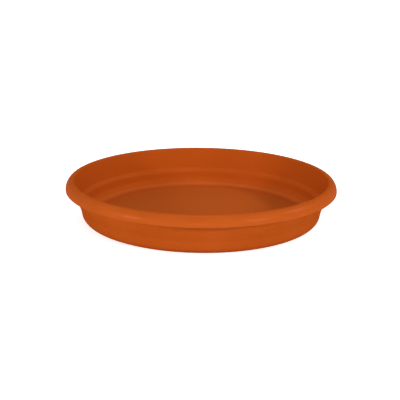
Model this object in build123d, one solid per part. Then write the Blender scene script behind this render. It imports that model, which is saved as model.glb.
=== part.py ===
from build123d import *

import math
import os

# Round plant saucer: one thin plastic moulding with a hollow rolled rim.
# Lengths are in millimetres and drafts in degrees.
# The origin is the centre of the plane that the saucer stands on, with Z up.

# Overall sizes
rim_diameter = 300.0
saucer_height = 45.0
wall_thickness = 2.0
floor_thickness = 1.8

# Rolled rim: a bevelled mouth, a crown of two arcs and a lip that hangs open
rim_width = 9.9
mouth_bevel_width = 2.0
mouth_bevel_drop = 1.1
crown_drop = 10.4
crown_top_share = 0.82

# Side wall: two drafted cones, joined inside by a ledge and outside by a softer shoulder
upper_draft = 12.5
lower_draft = 11.0
ledge_height = 16.9
ledge_rise = 4.3
ledge_width = 2.7
shoulder_spread = 2.5

# Base
base_edge_radius = 8.9
floor_corner_radius = 5.0
base_lift = 0.6
foot_ring_width = 5.8

# Scar of the moulding gate, under the centre of the floor
gate_recess_radius = 5.0
gate_recess_depth = 0.6
gate_stub_radius = 1.3
gate_stub_height = 0.4

# How far cuts run past what they cut
overrun = 1.0

# Places that follow from the sizes above
rim_radius = rim_diameter / 2
mouth_radius = rim_radius - rim_width
mouth_height = saucer_height - mouth_bevel_drop
crown_radius = mouth_radius + mouth_bevel_width
lip_height = saucer_height - crown_drop
ledge_top = ledge_height + ledge_rise
floor_top = base_lift + floor_thickness


def upper_wall(height, skin=0.0):
    """Radius of the wall above the ledge: its inner face, or a skin's thickness outside it."""
    draft = math.radians(upper_draft)
    return mouth_radius - (mouth_height - height) * math.tan(draft) + skin / math.cos(draft)


def lower_wall(height, skin=0.0):
    """Radius of the wall below the ledge: its inner face, or a skin's thickness outside it."""
    draft = math.radians(lower_draft)
    ledge_foot = upper_wall(ledge_top) - ledge_width
    return ledge_foot - (ledge_height - height) * math.tan(draft) + skin / math.cos(draft)


def inner_line():
    """From the centre of the floor, round its corner and over the ledge to the top of the rim."""
    return FilletPolyline(
        (0.0, floor_top),
        (lower_wall(floor_top), floor_top),
        (lower_wall(ledge_height), ledge_height),
        (upper_wall(ledge_top), ledge_top),
        (mouth_radius, mouth_height),
        (crown_radius, saucer_height),
        radius=[floor_corner_radius, 0.0, 0.0, 0.0],
    )


def crown_arcs(skin=0.0):
    """Top and side arcs of the crown, tangent to each other, or the same a skin's thickness in."""
    width = rim_radius - crown_radius
    top_arc = crown_top_share * width
    side_arc = (width**2 + crown_drop**2 - 2 * crown_drop * top_arc) / (2 * (width - top_arc))
    join_angle = math.degrees(math.atan2(crown_drop - top_arc, side_arc - width))
    top_centre = (crown_radius, saucer_height - top_arc)
    side_centre = (rim_radius - side_arc, lip_height)
    crown_top = CenterArc(top_centre, top_arc - skin, join_angle, 90.0 - join_angle)
    crown_side = CenterArc(side_centre, side_arc - skin, 0.0, join_angle)
    return crown_top, crown_side


def foot_flat_radius():
    """Outer radius of the flat foot ring, where the rounded base edge leaves it."""
    half_turn = math.radians(90.0 - lower_draft) / 2
    return lower_wall(0.0, wall_thickness) - base_edge_radius * math.tan(half_turn)


def outer_line():
    """From the lip, through the rim's hollow and down the wall to the centre of the underside."""
    crown_top, crown_side = crown_arcs(wall_thickness)
    hollow_top = saucer_height - wall_thickness
    shoulder_high = ledge_top + shoulder_spread
    shoulder_low = ledge_height - shoulder_spread
    foot_inner = foot_flat_radius() - foot_ring_width
    return FilletPolyline(
        (rim_radius, lip_height),
        crown_side @ 0,
        crown_side @ 1,
        (upper_wall(hollow_top, wall_thickness), hollow_top),
        (upper_wall(shoulder_high, wall_thickness), shoulder_high),
        (lower_wall(shoulder_low, wall_thickness), shoulder_low),
        (lower_wall(0.0, wall_thickness), 0.0),
        (foot_inner, 0.0),
        (foot_inner - base_lift, base_lift),
        (0.0, base_lift),
        radius=[0.0, 0.0, 0.0, 0.0, 0.0, base_edge_radius, 0.0, 0.0],
    )


def wall_section():
    """Half section of the moulding: floor, wall and rolled rim in one even skin."""
    crown_top, crown_side = crown_arcs()
    axis_edge = Line((0.0, base_lift), (0.0, floor_top))
    return make_face(inner_line() + crown_top + crown_side + outer_line() + axis_edge)


def gate_recess_section():
    """Shallow dish round the gate's scar, which keeps the stub off the ground."""
    dish_top = base_lift + gate_recess_depth
    return make_face(
        Polyline(
            (0.0, base_lift - overrun),
            (gate_recess_radius, base_lift - overrun),
            (gate_recess_radius, base_lift),
            (gate_recess_radius - gate_recess_depth, dish_top),
            (0.0, dish_top),
            close=True,
        )
    )


def gate_stub_section():
    """Short stub that is left where the sprue was cut off."""
    dish_top = base_lift + gate_recess_depth
    return make_face(
        Polyline(
            (0.0, dish_top - gate_stub_height),
            (gate_stub_radius, dish_top - gate_stub_height),
            (gate_stub_radius, dish_top),
            (0.0, dish_top),
            close=True,
        )
    )


def saucer():
    """The whole moulding, turned from its half section."""
    section = wall_section() - gate_recess_section() + gate_stub_section()
    return revolve(Plane.XZ * section, axis=Axis.Z)


os.makedirs("parts", exist_ok=True)
export_step(saucer(), "parts/saucer.step")
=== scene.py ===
import math

import bmesh
import bpy
from bpy.props import FloatProperty, FloatVectorProperty, IntProperty, PointerProperty
from mathutils import Matrix, Vector


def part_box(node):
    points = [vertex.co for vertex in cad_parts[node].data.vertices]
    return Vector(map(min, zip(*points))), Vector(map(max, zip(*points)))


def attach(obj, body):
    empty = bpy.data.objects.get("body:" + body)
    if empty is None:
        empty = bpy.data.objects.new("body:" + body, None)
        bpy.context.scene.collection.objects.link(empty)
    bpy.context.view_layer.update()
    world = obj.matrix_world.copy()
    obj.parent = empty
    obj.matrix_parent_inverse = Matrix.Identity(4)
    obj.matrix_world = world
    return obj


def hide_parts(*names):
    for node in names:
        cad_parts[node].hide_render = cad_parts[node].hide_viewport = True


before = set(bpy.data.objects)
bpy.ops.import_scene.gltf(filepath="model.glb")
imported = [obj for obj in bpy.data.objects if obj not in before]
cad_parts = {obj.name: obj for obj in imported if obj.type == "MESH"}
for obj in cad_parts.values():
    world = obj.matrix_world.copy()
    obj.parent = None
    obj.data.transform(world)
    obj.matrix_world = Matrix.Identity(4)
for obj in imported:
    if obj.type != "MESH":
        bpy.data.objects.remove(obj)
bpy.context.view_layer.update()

bl_info = {
    "name": "Plant Saucer",
    "version": (1, 0, 0),
    "blender": (4, 5, 0),
    "location": "View3D > Sidebar > Saucer",
    "description": "A round plant saucer of moulded terracotta plastic, and a white studio round it",
    "category": "Add Mesh",
}

SAUCER_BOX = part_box("saucer")
MILLIMETRE = 0.001
MERGE_DISTANCE = MILLIMETRE / 100
SENSOR_MILLIMETRES = 36.0
FLOOR_SIDES = 96


def length(name, description, millimetres):
    """A size of the moulding, kept in metres and shown in the scene's unit."""
    return FloatProperty(
        name=name,
        description=description,
        default=millimetres * MILLIMETRE,
        min=0.0,
        subtype="DISTANCE",
        unit="LENGTH",
        precision=4,
    )


def distance(name, description, metres):
    """A length in the studio, in metres."""
    return FloatProperty(
        name=name, description=description, default=metres, subtype="DISTANCE", unit="LENGTH"
    )


def angle(name, description, degrees):
    """An angle, kept in radians."""
    return FloatProperty(
        name=name, description=description, default=math.radians(degrees), subtype="ANGLE", unit="ROTATION"
    )


def share(name, description, default, top=1.0):
    """A plain number, such as a strength or a roughness."""
    return FloatProperty(name=name, description=description, default=default, min=0.0, max=top, precision=3)


def colour(name, description, red, green, blue):
    """A linear colour."""
    return FloatVectorProperty(
        name=name,
        description=description,
        default=(red, green, blue),
        size=3,
        min=0.0,
        max=1.0,
        subtype="COLOR",
    )


# Settings


class SaucerSizes(bpy.types.PropertyGroup):
    """Sizes of the moulding's half section, and how finely it is turned."""

    rim_radius: FloatProperty(
        name="Rim radius",
        description="From the axis to the widest line of the rim",
        default=SAUCER_BOX[1].x,
        subtype="DISTANCE",
        unit="LENGTH",
        precision=4,
    )
    height: FloatProperty(
        name="Height",
        description="From the ground to the top of the rim",
        default=SAUCER_BOX[1].z,
        subtype="DISTANCE",
        unit="LENGTH",
        precision=4,
    )
    wall: length("Wall", "Thickness of the side wall and the rim", 2.0)
    floor_top: length("Floor top", "Height of the floor's upper face", 2.4)
    rim_width: length("Rim width", "From the mouth's inner edge out to the widest line", 9.9)
    mouth_drop: length("Mouth drop", "How far the mouth's inner edge lies under the rim's top", 1.1)
    mouth_edge: length("Mouth edge", "Rounding from the inner wall into the rim's top", 2.1)
    crown_inset: length("Crown inset", "From the widest line in to the rim's highest line", 7.9)
    crown_drop: length("Crown drop", "From the rim's top down to its widest line", 9.8)
    crown_top_share: share("Crown top", "Radius of the crown's top arc, as a share of the crown inset", 0.82)
    lip_height: length("Lip height", "Height of the open lip's lower end", 33.9)
    lip_edge: length("Lip edge", "Rounding of both edges of the open lip", 0.5)
    hollow_crown: length("Hollow crown", "Rounding inside the rim, under its top", 2.5)
    hollow_corner: length("Hollow corner", "Rounding between the rim's hollow and the wall", 0.8)
    upper_draft: angle("Upper draft", "Lean of the wall above the ledge", 12.5)
    lower_draft: angle("Lower draft", "Lean of the wall below the ledge", 11.0)
    ledge_height: length("Ledge height", "Where the ledge starts on the inner wall", 16.9)
    ledge_rise: length("Ledge rise", "Height of the ledge", 4.3)
    ledge_width: length("Ledge width", "How far the wall steps out at the ledge", 2.7)
    ledge_edge: length("Ledge edge", "Rounding of the ledge's two edges", 4.0)
    shoulder_spread: length("Shoulder spread", "How far the shoulder passes the ledge, up and down", 2.5)
    shoulder_edge: length("Shoulder edge", "Rounding of the outer shoulder's two edges", 12.0)
    floor_corner: length("Floor corner", "Rounding between the floor and the wall", 11.0)
    base_edge: length("Base edge", "Rounding between the wall and the foot", 8.9)
    base_lift: length("Base lift", "How far the underside is off the ground inside the foot", 0.6)
    foot_width: length("Foot width", "Width of the flat foot ring", 5.8)
    foot_edge: length("Foot edge", "Rounding of the foot ring's inner edges", 0.4)
    gate_radius: length("Gate radius", "Radius of the dish round the gate's scar", 5.0)
    gate_depth: length("Gate depth", "Depth of the dish round the gate's scar", 0.6)
    stub_radius: length("Stub radius", "Radius of the stub left by the sprue", 1.3)
    stub_height: length("Stub height", "Height of the stub left by the sprue", 0.4)
    gate_edge: length("Gate edge", "Rounding of the edges round the gate", 0.15)
    longest_run: length("Longest run", "Longest step along a straight stretch of the section", 4.0)
    arc_step: angle("Arc step", "Largest turn of one step along a rounded stretch", 5.0)
    turn_steps: IntProperty(
        name="Turn steps", description="Steps of the full turn", default=288, min=24, max=720
    )


class SaucerFinish(bpy.types.PropertyGroup):
    """Pigment, painted light and shade, sheen and surface grain of the moulded plastic."""

    deep: colour("Deep", "Colour where the pigment has gathered", 0.49, 0.084, 0.0078)
    pale: colour("Pale", "Colour where the pigment is thinner", 0.55, 0.102, 0.0140)
    # The floor's colour is partly its own duller matte finish and partly a painted sheen, the haze its gloss
    # shows at a low angle
    floor_tone_and_sheen: colour("Floor", "Duller colour of the dish's floor", 0.54, 0.108, 0.0165)
    # The corner's paler colour is a painted highlight, where the rounded corner catches the light
    painted_corner_highlight: colour("Corner", "Paler colour of the floor's rounded corner", 0.61, 0.132, 0.0240)
    scuffed: colour("Scuffed", "Colour where the plastic is rubbed", 0.60, 0.17, 0.055)
    gloss_tint: colour("Gloss tint", "Colour that the warm gloss takes at a low angle", 1.0, 0.5, 0.18)
    clear_gloss: share("Clear gloss", "Strength of a clear gloss under the polish", 0.0)
    warm_gloss: share("Warm gloss", "Share of gloss that takes the pigment's colour", 0.03)
    wall_roughness: share("Wall roughness", "Roughness of the side wall", 0.44)
    rim_roughness: share("Rim roughness", "Roughness of the polished crown", 0.29)
    floor_roughness: share("Floor roughness", "Roughness of the matte floor", 0.62)
    rim_gloss: share("Rim gloss", "How much more warm gloss the outside of the rim has", 0.02)
    rim_polish: share("Rim polish", "Share of clear polish on the outside of the rim", 0.045)
    polish_roughness: share("Polish roughness", "Roughness of the rim's polish", 0.27)
    scuff_roughness: share("Scuff roughness", "Roughness that rubbing adds", 0.2)
    sheen_variation: share("Sheen variation", "How unevenly the surface shines", 0.12)
    # Share of the corner's painted highlight
    corner_highlight_share: share("Corner share", "How far the floor's rounded corner takes its paler colour", 0.6)
    # Share of painted shade at the floor's edge
    edge_shade_share: share("Floor edge share", "How far the edge of the floor takes the deep colour", 0.3)
    # Share of painted shade on the wall's inner face
    inside_shade_share: share("Inside share", "How far the inside of the wall takes the deep colour", 0.8)
    # Share of the floor's tone, partly a painted sheen
    floor_and_sheen_share: share("Floor share", "How far the floor takes its duller colour", 0.9)
    foot_rub: share("Foot rubbing", "How much of the foot is rubbed", 0.8)
    rim_rub: share("Rim rubbing", "How much of the rim's widest line is rubbed", 0.25)
    crown_rub: share("Crown rubbing", "How much of the crown is rubbed", 0.08)
    clouding: share("Clouding", "Strength of the broad clouds in the pigment", 1.1, 4.0)
    streaking: share("Streaking", "Strength of the streaks that run out from the gate", 0.8, 4.0)
    speckling: share("Speckling", "Strength of the pigment's fine speckle", 1.0, 4.0)
    scuffing: share("Scuffing", "Strength of the rubbed places", 0.6)
    floor_rings: share("Floor rings", "Strength of the turning marks on the dish's floor", 0.35)
    streak_stretch: share("Streak stretch", "How quickly a streak changes along its length", 9.0, 100.0)
    scuff_stretch: share("Scuff stretch", "How much wider than tall a rubbed patch is", 6.0, 100.0)
    scuff_fade: share("Scuff fade", "How softly a rubbed patch ends", 0.2)
    cloud_size: length("Cloud size", "Width of a cloud in the pigment", 70.0)
    streak_width: length("Streak width", "Width of a streak at the rim", 16.0)
    speckle_size: length("Speckle size", "Width of a speck of pigment", 0.9)
    scuff_size: length("Scuff size", "Width of a rubbed patch", 3.5)
    grain_size: length("Grain size", "Width of the spark grain", 0.35)
    grain_depth: length("Grain depth", "Depth of the spark grain", 0.012)
    ripple_size: length("Ripple size", "Width of the surface's faint ripple", 7.0)
    ripple_depth: length("Ripple depth", "Depth of the faint ripple", 0.03)
    ring_pitch: length("Ring pitch", "Spacing of the mould's turning marks", 0.8)
    ring_depth: length("Ring depth", "Depth of the mould's turning marks", 0.02)


class StudioSettings(bpy.types.PropertyGroup):
    """Floor, light and camera round the saucer."""

    floor_colour: colour("Floor colour", "Colour of the pale floor", 0.8, 0.8, 0.8)
    floor_glow: share("Floor glow", "White that the floor shows near the saucer, on top of its light", 0.7)
    floor_radius: distance("Floor radius", "Radius of the pale floor", 14.0)
    floor_gap: length("Floor gap", "How far the floor lies under the foot", 0.1)
    glow_start: distance("Glow start", "Where the floor starts to whiten, from the middle", 0.125)
    glow_end: distance("Glow end", "Where the floor is white whatever its light", 0.18)
    ambient: share("Ambient", "Light from all round", 0.33, 10.0)
    lamp_level: share("Lamp level", "Strength of all the lamps", 1.0, 10.0)
    lamp_distance: distance("Lamp distance", "From each lamp to the saucer", 1.6)
    camera_distance: distance("Camera distance", "From the camera to the middle of the saucer", 1.05)
    camera_elevation: angle("Camera elevation", "Angle of the camera above the ground", 17.36)
    camera_roll: angle("Camera roll", "Turn of the camera about its view", 0.609)
    camera_lens: FloatProperty(
        name="Camera lens", description="Focal length on a 36 mm sensor", default=83.89, unit="CAMERA"
    )
    aim: FloatVectorProperty(
        name="Aim",
        description="Point in the middle of the frame",
        default=(-0.0012, 0.0, 0.0182),
        size=3,
        subtype="TRANSLATION",
        unit="LENGTH",
        precision=4,
    )


# Lamps: name, azimuth and elevation in degrees, width in metres, power in watts
LAMPS = (
    ("lamp_front_low", 270.0, 10.0, 0.5, 5.6),
    ("lamp_front_right", 315.0, 22.0, 0.25, 7.1),
    ("lamp_left", 214.0, 17.0, 0.25, 8.9),
    ("lamp_right", 0.0, 34.0, 0.2, 4.1),
    ("lamp_back", 90.0, 26.0, 0.5, 2.8),
    ("lamp_top", 90.0, 75.0, 0.5, 3.6),
)


# Half section


def upper_wall(sizes, height, skin=0.0):
    """Radius of the wall above the ledge: its inner face, or a skin's thickness outside it."""
    mouth_radius = sizes.rim_radius - sizes.rim_width
    below_mouth = sizes.height - sizes.mouth_drop - height
    return mouth_radius - below_mouth * math.tan(sizes.upper_draft) + skin / math.cos(sizes.upper_draft)


def lower_wall(sizes, height, skin=0.0):
    """Radius of the wall below the ledge: its inner face, or a skin's thickness outside it."""
    ledge_foot = upper_wall(sizes, sizes.ledge_height + sizes.ledge_rise) - sizes.ledge_width
    below_ledge = sizes.ledge_height - height
    return ledge_foot - below_ledge * math.tan(sizes.lower_draft) + skin / math.cos(sizes.lower_draft)


def crown_corners(sizes, skin=0.0):
    """Corners and radii of the crown's top and side arcs, or of the same a skin's thickness in."""
    top_arc = sizes.crown_top_share * sizes.crown_inset
    inset, drop = sizes.crown_inset, sizes.crown_drop
    side_arc = (inset**2 + drop**2 - 2 * drop * top_arc) / (2 * (inset - top_arc))
    join = math.atan2(drop - top_arc, side_arc - inset)
    join_radius = sizes.rim_radius - side_arc + (side_arc - skin) * math.cos(join)
    join_height = sizes.height - drop + (side_arc - skin) * math.sin(join)
    top_run = (sizes.height - skin - join_height) / math.cos(join)
    side_run = (sizes.rim_radius - skin - join_radius) / math.sin(join)
    top_corner = (join_radius - top_run * math.sin(join), sizes.height - skin, top_arc - skin)
    side_corner = (sizes.rim_radius - skin, join_height - side_run * math.cos(join), side_arc - skin)
    return top_corner, side_corner


def foot_flat_radius(sizes):
    """Outer radius of the flat foot ring, where the rounded base edge leaves it."""
    half_turn = (math.pi / 2 - sizes.lower_draft) / 2
    return lower_wall(sizes, 0.0, sizes.wall) - sizes.base_edge * math.tan(half_turn)


def inside_corners(sizes):
    """Corners from the middle of the floor up the inner wall and over the crown, with their roundings."""
    ledge_top = sizes.ledge_height + sizes.ledge_rise
    top_corner, side_corner = crown_corners(sizes)
    return [
        (0.0, sizes.floor_top, 0.0),
        (lower_wall(sizes, sizes.floor_top), sizes.floor_top, sizes.floor_corner),
        (lower_wall(sizes, sizes.ledge_height), sizes.ledge_height, sizes.ledge_edge),
        (upper_wall(sizes, ledge_top), ledge_top, sizes.ledge_edge),
        (upper_wall(sizes, sizes.height), sizes.height, sizes.mouth_edge),
        top_corner,
        side_corner,
    ]


def outside_corners(sizes):
    """Corners from the lip through the hollow and down the outer wall to the foot ring."""
    hollow_top = sizes.height - sizes.wall
    top_corner, side_corner = crown_corners(sizes, sizes.wall)
    shoulder_high = sizes.ledge_height + sizes.ledge_rise + sizes.shoulder_spread
    shoulder_low = sizes.ledge_height - sizes.shoulder_spread
    return [
        (sizes.rim_radius, sizes.lip_height, sizes.lip_edge),
        (sizes.rim_radius - sizes.wall, sizes.lip_height, sizes.lip_edge),
        side_corner,
        (top_corner[0], hollow_top, sizes.hollow_crown),
        (upper_wall(sizes, hollow_top, sizes.wall), hollow_top, sizes.hollow_corner),
        (upper_wall(sizes, shoulder_high, sizes.wall), shoulder_high, sizes.shoulder_edge),
        (lower_wall(sizes, shoulder_low, sizes.wall), shoulder_low, sizes.shoulder_edge),
        (lower_wall(sizes, 0.0, sizes.wall), 0.0, sizes.base_edge),
    ]


def underside_corners(sizes):
    """Corners from the foot ring to the stub in the middle of the underside."""
    foot_inner = foot_flat_radius(sizes) - sizes.foot_width
    dish_top = sizes.base_lift + sizes.gate_depth
    stub_foot = dish_top - sizes.stub_height
    return [
        (foot_inner, 0.0, sizes.foot_edge),
        (foot_inner - sizes.base_lift, sizes.base_lift, sizes.foot_edge),
        (sizes.gate_radius, sizes.base_lift, sizes.gate_edge),
        (sizes.gate_radius - sizes.gate_depth, dish_top, sizes.gate_edge),
        (sizes.stub_radius, dish_top, sizes.gate_edge),
        (sizes.stub_radius, stub_foot, sizes.gate_edge),
        (0.0, stub_foot, 0.0),
    ]


def draw_run(section, pen, goal, longest):
    """Extrudes the pen's vertex along a straight run, in steps no longer than the longest."""
    start = pen.co.copy()
    steps = max(1, math.ceil((goal - start).length / longest))
    for step in range(1, steps + 1):
        pen = bmesh.ops.extrude_vert_indiv(section, verts=[pen])["verts"][0]
        pen.co = start.lerp(goal, step / steps)
    return pen


def draw_corner(section, pen, corner, goal, radius, sizes):
    """Runs the pen up to a rounded corner and spins it round the rounding's centre."""
    arriving = (corner - pen.co).normalized()
    leaving = (goal - corner).normalized()
    turn = arriving.angle(leaving)
    reach = radius * math.tan(turn / 2)
    if reach > (corner - pen.co).length + MERGE_DISTANCE:
        raise RuntimeError("A rounding of the saucer's section is too large for its place")
    pen = draw_run(section, pen, corner - arriving * reach, sizes.longest_run)
    axis = arriving.cross(leaving).normalized()
    centre = pen.co + axis.cross(arriving) * radius
    steps = max(2, math.ceil(turn / sizes.arc_step))
    spun = bmesh.ops.spin(section, geom=[pen], cent=centre, axis=axis, angle=turn, steps=steps)
    return next(item for item in spun["geom_last"] if isinstance(item, bmesh.types.BMVert))


def draw_section(sizes):
    """The moulding's half section as one open line that starts and ends on the axis."""
    corners = inside_corners(sizes) + outside_corners(sizes) + underside_corners(sizes)
    points = [Vector((radius, 0.0, height)) for radius, height, rounding in corners]
    section = bmesh.new()
    pen = section.verts.new(points[0])
    for index in range(1, len(points) - 1):
        rounding = corners[index][2]
        pen = draw_corner(section, pen, points[index], points[index + 1], rounding, sizes)
    draw_run(section, pen, points[-1], sizes.longest_run)
    return section


def turn_moulding(sizes):
    """The moulding's closed mesh, turned from its half section."""
    body = draw_section(sizes)
    bmesh.ops.spin(
        body,
        geom=body.verts[:] + body.edges[:],
        cent=(0.0, 0.0, 0.0),
        axis=(0.0, 0.0, 1.0),
        angle=math.tau,
        steps=sizes.turn_steps,
        use_merge=True,
    )
    bmesh.ops.remove_doubles(body, verts=body.verts[:], dist=MERGE_DISTANCE)
    bmesh.ops.recalc_face_normals(body, faces=body.faces[:])
    if not all(edge.is_manifold for edge in body.edges):
        raise RuntimeError("The saucer's moulding isn't closed")
    for face in body.faces:
        face.smooth = True
    mesh = bpy.data.meshes.new("saucer_moulding")
    body.to_mesh(mesh)
    body.free()
    return mesh


# Shader expressions


class Wire:
    """An output socket that takes part in Python arithmetic: each operator adds its Math node."""

    def __init__(self, sheet, socket):
        self.sheet = sheet
        self.socket = socket

    def out(self, name):
        """Another output of the same node."""
        return Wire(self.sheet, self.socket.node.outputs[name])

    def reckon(self, operation, first, second):
        """Adds a Math node on two numbers or wires."""
        return self.sheet.node("ShaderNodeMath", {"operation": operation}, {0: first, 1: second})

    def __add__(self, other):
        return self.reckon("ADD", self, other)

    def __radd__(self, other):
        return self.reckon("ADD", other, self)

    def __sub__(self, other):
        return self.reckon("SUBTRACT", self, other)

    def __rsub__(self, other):
        return self.reckon("SUBTRACT", other, self)

    def __mul__(self, other):
        return self.reckon("MULTIPLY", self, other)

    def __rmul__(self, other):
        return self.reckon("MULTIPLY", other, self)


class Sheet:
    """A node tree that is laid out from nothing."""

    def __init__(self, owner):
        owner.use_nodes = True
        self.tree = owner.node_tree
        self.tree.nodes.clear()

    def node(self, kind, settings=None, sockets=None):
        """Adds a node: first its settings, then the values or wires of its sockets, by name or number."""
        node = self.tree.nodes.new(kind)
        for name, value in (settings or {}).items():
            setattr(node, name, value)
        for key, value in (sockets or {}).items():
            if isinstance(value, Wire):
                self.tree.links.new(value.socket, node.inputs[key])
            else:
                node.inputs[key].default_value = value
        return Wire(self, node.outputs[0]) if node.outputs else None

    def vector(self, operation, first, second=(0.0, 0.0, 0.0), third=(0.0, 0.0, 0.0)):
        """Works on whole vectors."""
        return self.node("ShaderNodeVectorMath", {"operation": operation}, {0: first, 1: second, 2: third})

    def paint(self, share_of_second, first, second):
        """Goes from the first colour to the second."""
        # A Mix node holds its colours in inputs 6 and 7 and output 2
        mixed = self.node("ShaderNodeMix", {"data_type": "RGBA"}, {0: share_of_second, 6: first, 7: second})
        return mixed.out(2)

    def rise(self, value, low, high):
        """0 below the low value, 1 above the high one and smooth between; falls where low is the greater."""
        sockets = {"Value": value, "From Min": low, "From Max": high}
        return self.node("ShaderNodeMapRange", {"interpolation_type": "SMOOTHSTEP"}, sockets)

    def noise(self, place, grain, detail=2.0):
        """Noise about 0 whose blotches are about as wide as the grain."""
        sockets = {"Vector": place, "Scale": 1.0 / grain, "Detail": detail}
        return self.node("ShaderNodeTexNoise", None, sockets) - 0.5


def solid(colour_value):
    """A colour setting as a socket takes it."""
    return (*colour_value, 1.0)


# Moulded plastic


class MouldingParts:
    """Masks that are 1 on one part of the moulding, 0 away from it and smooth between."""

    def __init__(self, sheet, sizes, height, radius):
        self.sheet = sheet
        self.radius = radius
        self.corner = sizes.floor_corner
        wall = sizes.wall
        above_floor = sheet.rise(height, sizes.floor_top - wall / 2, sizes.floor_top - wall / 8)
        self.underside = sheet.rise(height, sizes.floor_top - wall / 2, sizes.base_lift)
        self.foot = sheet.rise(height, sizes.base_lift / 2, 0.0)

        # The floor; its rounded corner, which gets a painted highlight; and the floor's edge beside the
        # corner, which gets painted shade
        wall_foot = lower_wall(sizes, sizes.floor_top)
        corner_foot = wall_foot - self.corner * math.tan((math.pi / 2 - sizes.lower_draft) / 2)
        self.dish_floor = above_floor * self.near(wall_foot, -0.9, -1.4)
        past_floor = self.near(corner_foot, -0.5, 0.1)
        self.floor_corner = above_floor * past_floor * self.near(wall_foot, -0.1, -0.4)
        self.floor_edge_shade = above_floor * self.near(corner_foot, -1.5, -0.3) * (1.0 - past_floor)

        # The wall's inner face, faded out inside its skin, for painted shade, but not the ledge and the
        # floor's corner, which stay paler as painted highlight bands
        ledge_top = sizes.ledge_height + sizes.ledge_rise
        over_ledge = sheet.rise(height, ledge_top - wall / 2, ledge_top + wall / 2)
        under_ledge = sheet.rise(height, sizes.ledge_height + wall / 2, sizes.ledge_height - wall / 2)
        over_corner = sheet.rise(height, sizes.floor_top + self.corner / 3, self.corner)
        upper_face = sheet.rise(radius - upper_wall(sizes, height), 0.6 * wall, 0.2 * wall)
        lower_face = sheet.rise(radius - lower_wall(sizes, height), 0.6 * wall, 0.2 * wall)
        self.inside = upper_face * over_ledge + lower_face * under_ledge * over_corner

        # The rim's top, its outer half and its widest line
        crown_line = sizes.rim_radius - sizes.crown_inset
        self.crown = sheet.rise(height, sizes.height - sizes.crown_drop / 2, sizes.height)
        self.outer_rim = sheet.rise(radius, crown_line, sizes.rim_radius - sizes.crown_inset / 3)
        self.rim_edge = sheet.rise(radius, sizes.rim_radius - wall / 2, sizes.rim_radius)

    def near(self, place, low_share, high_share):
        """0 to 1 between two radii, each a share of the corner's rounding away from a place."""
        return self.sheet.rise(
            self.radius, place + low_share * self.corner, place + high_share * self.corner
        )


def plastic_material(finish, sizes):
    """Moulded terracotta plastic: clouded pigment, flow streaks, speckle, spark grain, rubbed edges, and
    painted shade, sheen and highlight inside the dish.
    """
    material = bpy.data.materials.new("terracotta_plastic")
    sheet = Sheet(material)
    place = sheet.node("ShaderNodeTexCoord").out("Object")
    height = sheet.node("ShaderNodeSeparateXYZ", None, {0: place}).out("Z")
    level_place = sheet.vector("MULTIPLY", place, (1.0, 1.0, 0.0))
    radius = sheet.vector("LENGTH", level_place).out("Value")

    parts = MouldingParts(sheet, sizes, height, radius)

    # Pigment, half way between the deep and the pale colour where the noise is 0
    clouds = sheet.noise(place, finish.cloud_size, detail=3.0)
    direction = sheet.vector("NORMALIZE", level_place)
    along_flow = sheet.node("ShaderNodeCombineXYZ", None, {"Z": radius * finish.streak_stretch})
    flow_place = sheet.vector("MULTIPLY_ADD", direction, (1.0, 1.0, 1.0), along_flow)
    streaks = sheet.noise(flow_place, finish.streak_width / sizes.rim_radius, detail=3.0)
    speckle = sheet.noise(place, finish.speckle_size, detail=1.0)
    pigment = 0.5 + clouds * finish.clouding + streaks * finish.streaking + speckle * finish.speckling
    tone = sheet.paint(pigment, solid(finish.deep), solid(finish.pale))
    # Painted shade on the wall's inner face
    tone = sheet.paint(parts.inside * finish.inside_shade_share, tone, solid(finish.deep))
    # The floor's duller tone, partly a painted sheen
    tone = sheet.paint(parts.dish_floor * finish.floor_and_sheen_share, tone, solid(finish.floor_tone_and_sheen))
    # Painted highlight on the floor's rounded corner
    tone = sheet.paint(parts.floor_corner * finish.corner_highlight_share, tone, solid(finish.painted_corner_highlight))
    # Painted shade at the floor's edge beside the corner
    tone = sheet.paint(parts.floor_edge_shade * finish.edge_shade_share, tone, solid(finish.deep))

    # Rubbing where saucers are stacked and slid
    scuff_place = sheet.vector("MULTIPLY", place, (1.0, 1.0, finish.scuff_stretch))
    rubbed = sheet.rise(sheet.noise(scuff_place, finish.scuff_size, detail=4.0), 0.0, finish.scuff_fade)
    worn = parts.foot * finish.foot_rub + parts.rim_edge * finish.rim_rub + parts.crown * finish.crown_rub
    scuffs = worn * rubbed
    tone = sheet.paint(scuffs * finish.scuffing, tone, solid(finish.scuffed))

    # Sheen
    ripple = sheet.noise(place, finish.ripple_size)
    roughness = (
        finish.wall_roughness
        + parts.crown * (finish.rim_roughness - finish.wall_roughness)
        + parts.dish_floor * (finish.floor_roughness - finish.wall_roughness)
        + (parts.foot + scuffs) * finish.scuff_roughness
        + ripple * finish.sheen_variation
    )

    # Relief, in metres
    spark_grain = sheet.noise(place, finish.grain_size)
    ring_place = sheet.node("ShaderNodeCombineXYZ", None, {"X": radius})
    rings = sheet.noise(ring_place, finish.ring_pitch, detail=1.0)
    turned = parts.underside + parts.dish_floor * finish.floor_rings
    relief = spark_grain * finish.grain_depth + ripple * finish.ripple_depth
    relief = relief + rings * turned * finish.ring_depth
    bump = sheet.node("ShaderNodeBump", None, {"Strength": 1.0, "Distance": 1.0, "Height": relief})

    shader = sheet.node(
        "ShaderNodeBsdfPrincipled",
        None,
        {
            "Base Color": tone,
            "Roughness": roughness,
            "Metallic": finish.warm_gloss + parts.outer_rim * finish.rim_gloss,
            "Specular IOR Level": finish.clear_gloss,
            "Specular Tint": solid(finish.gloss_tint),
            "Coat Weight": parts.outer_rim * finish.rim_polish,
            "Coat Roughness": finish.polish_roughness,
            "Normal": bump,
        },
    )
    sheet.node("ShaderNodeOutputMaterial", None, {"Surface": shader})
    return material


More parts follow.
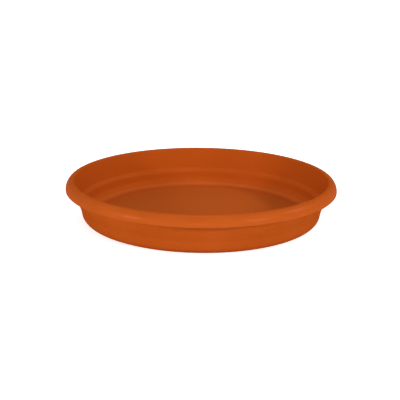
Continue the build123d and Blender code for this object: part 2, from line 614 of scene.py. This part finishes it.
class SAUCER_OT_moulding(bpy.types.Operator):
    """Turns the saucer's moulding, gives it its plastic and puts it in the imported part's place"""

    bl_idname = "saucer.moulding"
    bl_label = "Saucer Moulding"

    def execute(self, context):
        scene = context.scene
        mesh = turn_moulding(scene.saucer_sizes)
        piece = bpy.data.objects.new("saucer_moulding", mesh)
        scene.collection.objects.link(piece)
        mesh.materials.append(plastic_material(scene.saucer_finish, scene.saucer_sizes))
        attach(piece, "root")
        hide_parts("saucer")
        return {"FINISHED"}


# Studio


def seen_ray(sheet):
    """1 for the rays that show the background: from the camera, in a reflection or through glass."""
    path = sheet.node("ShaderNodeLightPath")
    unseen = 1.0 - path.out("Is Camera Ray")
    for kind in ("Is Glossy Ray", "Is Transmission Ray"):
        unseen = unseen * (1.0 - path.out(kind))
    return 1.0 - unseen


def lay_floor(scene, studio):
    """A wide pale floor that shows white, apart from the saucer's shadow."""
    circle = bmesh.new()
    under_foot = Matrix.Translation((0.0, 0.0, -studio.floor_gap))
    bmesh.ops.create_circle(
        circle, cap_ends=True, segments=FLOOR_SIDES, radius=studio.floor_radius, matrix=under_foot
    )
    mesh = bpy.data.meshes.new("studio_floor")
    circle.to_mesh(mesh)
    circle.free()
    floor = bpy.data.objects.new("studio_floor", mesh)
    scene.collection.objects.link(floor)

    material = bpy.data.materials.new("studio_floor")
    sheet = Sheet(material)
    place = sheet.node("ShaderNodeTexCoord").out("Object")
    radius = sheet.vector("LENGTH", place).out("Value")
    far = sheet.rise(radius, studio.glow_start, studio.glow_end)
    glow = (studio.floor_glow + far * (1.0 - studio.floor_glow)) * seen_ray(sheet)
    paint = sheet.node("ShaderNodeBsdfDiffuse", None, {"Color": solid(studio.floor_colour)})
    light = sheet.node("ShaderNodeEmission", None, {"Strength": glow})
    surface = sheet.node("ShaderNodeAddShader", None, {0: paint, 1: light})
    sheet.node("ShaderNodeOutputMaterial", None, {"Surface": surface})
    mesh.materials.append(material)


def light_world(scene, studio):
    """Soft light from all round, white where it is seen."""
    world = bpy.data.worlds.new("studio_world")
    scene.world = world
    sheet = Sheet(world)
    strength = studio.ambient + (1.0 - studio.ambient) * seen_ray(sheet)
    background = sheet.node("ShaderNodeBackground", None, {"Strength": strength})
    sheet.node("ShaderNodeOutputWorld", None, {"Surface": background})


def hang_lamp(scene, name, azimuth, elevation, away, width, power):
    """A round soft lamp that faces the saucer: azimuth from +X towards +Y, both angles in degrees."""
    data = bpy.data.lights.new(name, "AREA")
    data.shape = "DISK"
    data.size = width
    data.energy = power
    lamp = bpy.data.objects.new(name, data)
    turn = Matrix.Rotation(math.radians(azimuth), 4, "Z") @ Matrix.Rotation(math.radians(-elevation), 4, "Y")
    direction = turn @ Vector((1.0, 0.0, 0.0))
    lamp.location = direction * away
    lamp.rotation_euler = direction.to_track_quat("Z", "Y").to_euler()
    scene.collection.objects.link(lamp)


def set_camera(scene, studio):
    """The photograph's view of the saucer."""
    data = bpy.data.cameras.new("camera")
    data.sensor_width = SENSOR_MILLIMETRES
    data.lens = studio.camera_lens
    camera = bpy.data.objects.new("camera", data)
    scene.collection.objects.link(camera)
    elevation = studio.camera_elevation
    camera.location = (
        0.0,
        -studio.camera_distance * math.cos(elevation),
        studio.camera_distance * math.sin(elevation),
    )
    view = (Vector(studio.aim) - camera.location).to_track_quat("-Z", "Y").to_matrix().to_4x4()
    roll = Matrix.Rotation(studio.camera_roll, 4, "Z")
    camera.matrix_world = Matrix.Translation(camera.location) @ view @ roll
    scene.camera = camera


class SAUCER_OT_studio(bpy.types.Operator):
    """Lays the floor, hangs the lamps and sets the camera"""

    bl_idname = "saucer.studio"
    bl_label = "Studio"

    def execute(self, context):
        scene = context.scene
        studio = scene.saucer_studio
        lay_floor(scene, studio)
        light_world(scene, studio)
        for name, azimuth, elevation, width, power in LAMPS:
            hang_lamp(scene, name, azimuth, elevation, studio.lamp_distance, width, power * studio.lamp_level)
        set_camera(scene, studio)
        scene.view_settings.view_transform = "Standard"
        return {"FINISHED"}


class SAUCER_PT_panel(bpy.types.Panel):
    """Lists the saucer's operators, each with its settings"""

    bl_idname = "SAUCER_PT_panel"
    bl_label = "Plant Saucer"
    bl_space_type = "VIEW_3D"
    bl_region_type = "UI"
    bl_category = "Saucer"

    def draw(self, context):
        scene = context.scene
        groups = (
            (SAUCER_OT_moulding, (scene.saucer_sizes, scene.saucer_finish)),
            (SAUCER_OT_studio, (scene.saucer_studio,)),
        )
        for operator, settings in groups:
            box = self.layout.box()
            box.operator(operator.bl_idname)
            for group in settings:
                for name in group.__annotations__:
                    box.prop(group, name)


CLASSES = (SaucerSizes, SaucerFinish, StudioSettings, SAUCER_OT_moulding, SAUCER_OT_studio, SAUCER_PT_panel)


def register():
    """Registers the classes and gives the scene its settings."""
    for cls in CLASSES:
        bpy.utils.register_class(cls)
    bpy.types.Scene.saucer_sizes = PointerProperty(type=SaucerSizes)
    bpy.types.Scene.saucer_finish = PointerProperty(type=SaucerFinish)
    bpy.types.Scene.saucer_studio = PointerProperty(type=StudioSettings)


def unregister():
    """Takes the settings and the classes away again."""
    del bpy.types.Scene.saucer_studio
    del bpy.types.Scene.saucer_finish
    del bpy.types.Scene.saucer_sizes
    for cls in reversed(CLASSES):
        bpy.utils.unregister_class(cls)


def main():
    """Makes the pieces and the studio."""
    register()
    bpy.ops.saucer.moulding()
    bpy.ops.saucer.studio()


if __name__ == "__main__":
    main()
